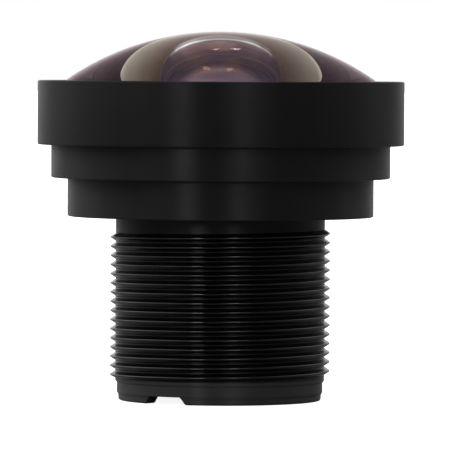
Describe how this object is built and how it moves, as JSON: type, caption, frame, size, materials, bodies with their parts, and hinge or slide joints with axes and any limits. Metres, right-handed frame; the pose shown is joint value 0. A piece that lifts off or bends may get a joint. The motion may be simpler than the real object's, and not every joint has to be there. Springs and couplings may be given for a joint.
{
  "type": "board camera lens",
  "caption": "Wide-angle fixed-focus board camera lens: domed front glass in a black ring on a stepped barrel with an M12 screw thread.",
  "frame": {"origin": "middle of the rear end face of the screw barrel, on the optical axis", "axes": "+Z along the optical axis from the sensor end to the front glass; -Y is the side that faces the picture's camera, with +X to its right"},
  "size_m": [0.02, 0.02, 0.0201],
  "materials": {
    "barrel_black": "satin black anodised, screw cut",
    "ring_black": "satin black anodised, turned",
    "front_glass": "polished, purple and amber coated",
    "inner_glass": "polished, coated, ground black rim",
    "filter_glass": "polished, dichroic infrared cut coating",
    "spacer_black": "matt black",
    "shim_black": "matt black film",
    "stop_black": "matt black foil",
    "seal_rubber": "soft black rubber"
  },
  "bodies": {
    "root": {"barrel": "barrel_black", "front_retaining_ring": "ring_black", "front_lens": "front_glass", "front_seal": "seal_rubber", "front_spacer": "spacer_black", "second_lens": "inner_glass", "front_baffle": "shim_black", "second_spacer": "spacer_black", "third_lens": "inner_glass", "third_spacer": "spacer_black", "aperture_stop": "stop_black", "fourth_lens": "inner_glass", "fourth_spacer": "spacer_black", "doublet_front_lens": "inner_glass", "doublet_rear_lens": "inner_glass", "rear_shim": "shim_black", "fifth_spacer": "spacer_black", "rear_lens": "inner_glass", "rear_retaining_ring": "ring_black", "infrared_filter": "filter_glass"}
  },
  "joints": []
}
